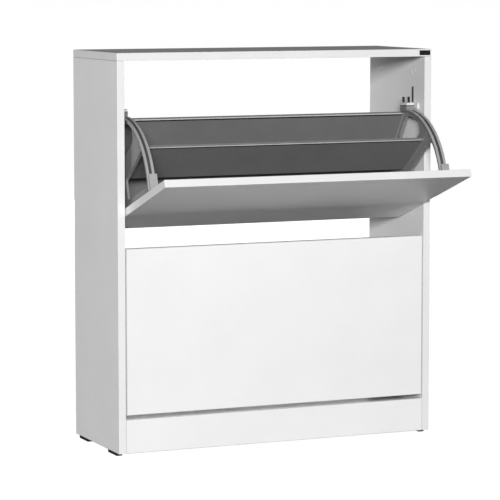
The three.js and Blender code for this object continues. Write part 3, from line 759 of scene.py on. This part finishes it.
def finish_on_arm(face, centre, pivot, run):
    """The finish of a face that isn't on the head."""
    radial = Vector((0, centre.y - pivot.y, centre.z - pivot.z)).normalized()
    outwards = face.normal.dot(radial)
    depth = (run - reach(pivot, centre)) / MM
    # the foot and the outside of the run get a painted highlight, the groove floor painted shade
    if centre.z - pivot.z > run + FOOT_START * MM:
        return RUN_HIGHLIGHT
    if around(pivot, centre) <= HEAD_ANGLE:
        return PLAIN
    if outwards > FACING and abs(depth) < RUN_DEPTH:
        return RUN_HIGHLIGHT
    if outwards > GROOVE_FACING and GROOVE_DEPTHS[0] < depth < GROOVE_DEPTHS[1]:
        return PAINTED_SHADE
    return PLAIN


def mark_frame(mesh, pivot):
    """Gives each part of a side frame its finish, with painted highlights and painted shade, and measures
    the run of its arm.
    """
    start, end = ARC_ANGLES
    run = max(reach(pivot, v.co) for v in mesh.verts if start < around(pivot, v.co) < end)
    angle = math.radians(HEAD_ANGLE)
    outward = Vector((0, math.cos(angle), math.sin(angle)))
    head = run + HEAD_REACH * MM
    for depth in (HEAD_HIGHLIGHT_DEPTH, HEAD_HIGHLIGHT_DEPTH + SHADOW_LINE_DEPTH):
        cut(mesh, pivot + outward * (head - depth * MM), outward)
    for face in mesh.faces:
        centre = face.calc_center_median()
        finish = finish_on_head(((centre - pivot).dot(outward) - head) / MM)
        face.material_index = finish_on_arm(face, centre, pivot, run) if finish is None else finish
    return run


# %% Side frames
for level in LEVELS:
    pivot, place = Vector(joint_of(level)["pos_m"]), TURNED[level]
    for side in SIDES:
        node = f"side_frame_{level}_{side}"
        mesh = soften(merged_copy(node, place), 0.35, segments=1)
        run = mark_frame(mesh, pivot)
        name, body = f"moulded_{node}", f"{level}_unit"
        piece = finish_piece(mesh, name, FRAME_FINISHES, body, (node,), place)
        print("frame", name, "run", round(run / MM, 1), "mm,", len(piece.data.polygons), "faces")

# %% [markdown]
# ## Turned and pressed fittings
# Pins, screws, cams and bolts are round. In the CAD model they have sixteen sides, which is
# enough to turn in a hole but shows as corners up close. Here each is spun from half of its
# outline in many steps. The outline starts and ends on the axis, so the spin closes the shape,
# and the points that fall together on the axis are merged. The recess for the screwdriver is
# cut with a Boolean, because a cross in a round head has no simple outline of its own.

# %% Spin an outline
STEPS = 40
ON_AXIS = 0.001 * MM  # points nearer than this are merged


def spun(outline):
    """A closed round shape about the X axis; outline is (along, radius) in mm."""
    mesh = bmesh.new()
    verts = [mesh.verts.new((along * MM, 0, radius * MM)) for along, radius in outline]
    edges = [mesh.edges.new(pair) for pair in zip(verts, verts[1:])]
    bmesh.ops.spin(
        mesh,
        geom=[*verts, *edges],
        axis=(1, 0, 0),
        cent=(0, 0, 0),
        angle=2 * math.pi,
        steps=STEPS,
        use_merge=True,
        use_duplicate=False,
    )
    bmesh.ops.remove_doubles(mesh, verts=mesh.verts, dist=ON_AXIS)
    bmesh.ops.recalc_face_normals(mesh, faces=mesh.faces)
    return mesh


def bar(start, end, half_width, half_height, turn=0.0, lift=0.0):
    """A short bar along X, used to cut a recess; sizes in mm."""
    mesh = bmesh.new()
    bmesh.ops.create_cube(mesh, size=1)
    size = ((end - start) * MM, 2 * half_width * MM, 2 * half_height * MM)
    bmesh.ops.scale(mesh, vec=size, verts=mesh.verts)
    bmesh.ops.translate(mesh, vec=((start + end) / 2 * MM, 0, lift * MM), verts=mesh.verts)
    bmesh.ops.rotate(mesh, cent=(0, 0, 0), matrix=Matrix.Rotation(turn, 3, "X"), verts=mesh.verts)
    return mesh


# %% Cut one mesh out of another
def as_object(mesh):
    """A throw-away object for a Boolean."""
    data = bpy.data.meshes.new("blank")
    mesh.to_mesh(data)
    mesh.free()
    thing = bpy.data.objects.new("blank", data)
    bpy.context.scene.collection.objects.link(thing)
    return thing


def carve(mesh, *tools):
    """mesh without the tools."""
    blank = as_object(mesh)
    cutters = [as_object(tool) for tool in tools]
    for cutter in cutters:
        step = blank.modifiers.new("cut", "BOOLEAN")
        step.operation = "DIFFERENCE"
        step.solver = "EXACT"
        step.object = cutter
    bpy.context.view_layer.update()
    carved = bpy.data.meshes.new_from_object(blank.evaluated_get(bpy.context.evaluated_depsgraph_get()))
    result = bmesh.new()
    result.from_mesh(carved)
    bpy.data.meshes.remove(carved)
    for thing in (blank, *cutters):
        bpy.data.objects.remove(thing)
    return result


# %% [markdown]
# ### Pivot pins
# Each unit turns on two dark plastic pins. A pin has a collar that keeps the frame off the
# side, and its end is chamfered so that the frame clips over it.

# %% Put a fitting in its place
ALONG_X = {"left": Matrix.Identity(4), "right": Matrix.Rotation(math.pi, 4, "Z")}


def fitting(mesh, name, finish, node, body, turn, at, place=UPRIGHT):
    """Turns a spun shape from the X axis to its own axis, and puts it at its place."""
    bmesh.ops.transform(mesh, matrix=Matrix.Translation(at) @ turn, verts=mesh.verts)
    nodes = (node,) if node else ()
    finish_piece(mesh, name, (finish,), body, nodes, place)


def middle_of(node):
    """The middle of a node's box."""
    low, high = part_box(node)
    return (low + high) / 2


def on_inner_face(node):
    """The middle of a node, moved onto the inner face of the side that it sits in."""
    middle = middle_of(node)
    return Vector((math.copysign(inner_face, middle.x), middle.y, middle.z))


# %% Pivot pins
PIN = 3.7  # radius in mm
COLLAR = 7  # radius in mm
PIN_OUTLINE = [
    (-10, 0), (-10, PIN - 0.6), (-9.4, PIN), (0.3, PIN),
    (0.3, COLLAR - 0.3), (0.6, COLLAR), (4.4, COLLAR), (4.7, COLLAR - 0.3),
    (4.7, PIN), (19.7, PIN), (20.7, PIN - 1), (20.7, 1.6), (20.1, 1.2), (20.1, 0),
]
for level in LEVELS:
    for side in SIDES:
        node = f"pivot_pin_{level}_{side}"
        at = on_inner_face(node)
        pin, name = spun(PIN_OUTLINE), f"turned_{node}"
        fitting(pin, name, DARK_PLASTIC, node, "carcass", ALONG_X[side], at)
        print("pin", node, [round(v / MM, 1) for v in at])

# %% [markdown]
# ### Screws
# Two zinc screws hold each frame to its flap. The head is a low dome with a cross recess, cut by
# two crossed bars, and the shank goes into the hole that the flap already has.

# %% The outline of a screw
SCREW_HEAD = 3.6  # radius in mm
SCREW_HEAD_HEIGHT = 2.2
SHANK = 1.75  # radius in mm
SHANK_ROOT = 0.72 * SHANK  # between two threads
PITCH = 1.4  # mm from one thread to the next


def screw_outline(length):
    """A pan-head screw that points along -X, with its head above 0; sizes in mm."""
    head = [
        (0, SHANK), (0, SCREW_HEAD - 0.15), (0.2, SCREW_HEAD), (0.9, SCREW_HEAD),
        (1.5, SCREW_HEAD * 0.86), (2.0, SCREW_HEAD * 0.5), (SCREW_HEAD_HEIGHT, 0),
    ]
    threads = []
    for i in range(int((length - 2.5) / PITCH)):
        start = -1.2 - i * PITCH
        crest = [(start - 0.55, SHANK), (start - 0.7, SHANK)]
        threads += [(start, SHANK_ROOT), *crest, (start - 1.25, SHANK_ROOT)]
    return [(-length, 0), *reversed(threads), (-0.6, SHANK), *head]


def cross_recess(mesh, top, arm, depth):
    """Cuts a cross in the face at top, looking along -X; arm is half its width in mm."""
    bars = [bar(top - depth, top + 1, 0.42, arm, turn) for turn in (0, math.pi / 2)]
    return carve(mesh, *bars)


# %% Frame screws
OUT_OF_FLAP = Matrix.Rotation(math.pi / 2, 4, "Z")


def frame_screw(level, end, side):
    """A screw through the foot of a side frame, with its head at the back of the flap."""
    node, place = f"frame_screw_{level}_{end}_{side}", TURNED[level]
    low, high = extent(merged_copy(node, place))
    under_head = high.y - SCREW_HEAD_HEIGHT * MM
    length = (under_head - low.y) / MM
    at = Vector(((low.x + high.x) / 2, under_head, (low.z + high.z) / 2))
    screw = cross_recess(spun(screw_outline(length)), SCREW_HEAD_HEIGHT, arm=1.9, depth=1.3)
    fitting(screw, f"cross_{node}", ZINC, node, f"{level}_unit", OUT_OF_FLAP, at, place)
    return length


for level in LEVELS:
    for side in SIDES:
        for end in ("low", "high"):
            length = frame_screw(level, end, side)
    print("screws of the", level, "unit", round(length, 1), "mm long under the head")

# %% [markdown]
# ### Cams and bolts of the top
# A cam disc in each side grips a bolt that stands in the top panel. The disc has a chamfered rim,
# and a mouth on its upper side that takes the head of the bolt. A thin white cap is pressed over
# its recess, so that the inside of the cabinet looks plain. The cap is a piece of its own, spun
# in the same way, because it is pulled off when the cam is turned.

# %% Cams and their caps
CAM = 7.5  # radius in mm
CAM_FACE = -1.3  # mm from the inner face of the side to the face of the cam
CAM_OUTLINE = [
    (-12, 0), (-12, CAM - 0.3), (-11.7, CAM),
    (CAM_FACE - 0.3, CAM), (CAM_FACE, CAM - 0.3), (CAM_FACE, 0),
]
CAP_OUTLINE = [(-1.25, 0), (-1.25, 7.3), (-0.6, 7.4), (-0.35, 7.1), (-0.1, 6.2), (0, 4), (0, 0)]


def cam_and_cap(end, side):
    """A cam with its mouth upwards, and the cap over its recess."""
    node = f"top_cam_{end}_{side}"
    at, turn = on_inner_face(node), ALONG_X[side]
    mouth = bar(-11.9, -4.1, 3.9, 5, lift=3.1)
    cam = carve(cross_recess(spun(CAM_OUTLINE), CAM_FACE, arm=3.6, depth=2.2), mouth)
    fitting(cam, f"slotted_{node}", ZINC, node, "carcass", turn, at)
    cap, name = spun(CAP_OUTLINE), f"cap_of_{node}"
    fitting(cap, name, CAP_PLASTIC, None, "carcass", turn, at)


# %% Bolts
UPWARDS = Matrix.Rotation(-math.pi / 2, 4, "Y")
BOLT_THREADS = 5
BOLT_PITCH = 1.8  # mm


def bolt_outline(length):
    """A bolt with a head for the cam at 0 and a thread for the top panel at its end; in mm."""
    head = [(0, 0), (0, 3.1), (0.4, 3.5), (2.6, 3.5), (3, 3.1), (4, 2.2), (12, 2.2), (12.5, 2.5)]
    threads = []
    for i in range(BOLT_THREADS):
        start = length - 9.6 + BOLT_PITCH * i
        threads += [(start, 2.5), (start + 0.9, 2.1)]
    return [*head, *threads, (length - 0.4, 2.0), (length, 1.4), (length, 0)]


def cam_bolt(end, side):
    """The bolt that stands up from a cam into the top panel."""
    node = f"top_cam_bolt_{end}_{side}"
    low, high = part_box(node)
    at = middle_of(node)
    at.z = low.z
    bolt, name = spun(bolt_outline((high.z - low.z) / MM)), f"threaded_{node}"
    fitting(bolt, name, ZINC, node, "carcass", UPWARDS, at)


for side in SIDES:
    for end in ("front", "back"):
        cam_and_cap(end, side)
        cam_bolt(end, side)
    print("cams and bolts on the", side)

# %% [markdown]
# ## Glides, tag, stops and leaves
# The small mouldings keep the shapes of their CAD nodes. A rounded edge is all that a glide or a
# stop needs at this size. The tag on the front edge of the top is plain: it says nothing.

# %% Small mouldings
def small_moulding(node, finish, soft, segments=2):
    """A softened copy that stands for its node."""
    mesh = soften(merged_copy(node), soft, segments=segments)
    piece = finish_piece(mesh, f"moulded_{node}", (finish,), "carcass", (node,), smooth=0)
    print("moulding", piece.name, len(piece.data.polygons), "faces")


small_moulding("edge_tag", BLACK_PLASTIC, 0.25, 3)
for side in SIDES:
    for end in ("front", "back"):
        small_moulding(f"glide_{end}_{side}", BLACK_PLASTIC, 0.5, 3)
    for level in LEVELS:
        small_moulding(f"stop_block_{level}_{side}", WHITE_STOP_AND_HEAD_HIGHLIGHT, 0.3)
        small_moulding(f"stop_leaf_{level}_{side}", DARK_PLASTIC, 0.2)
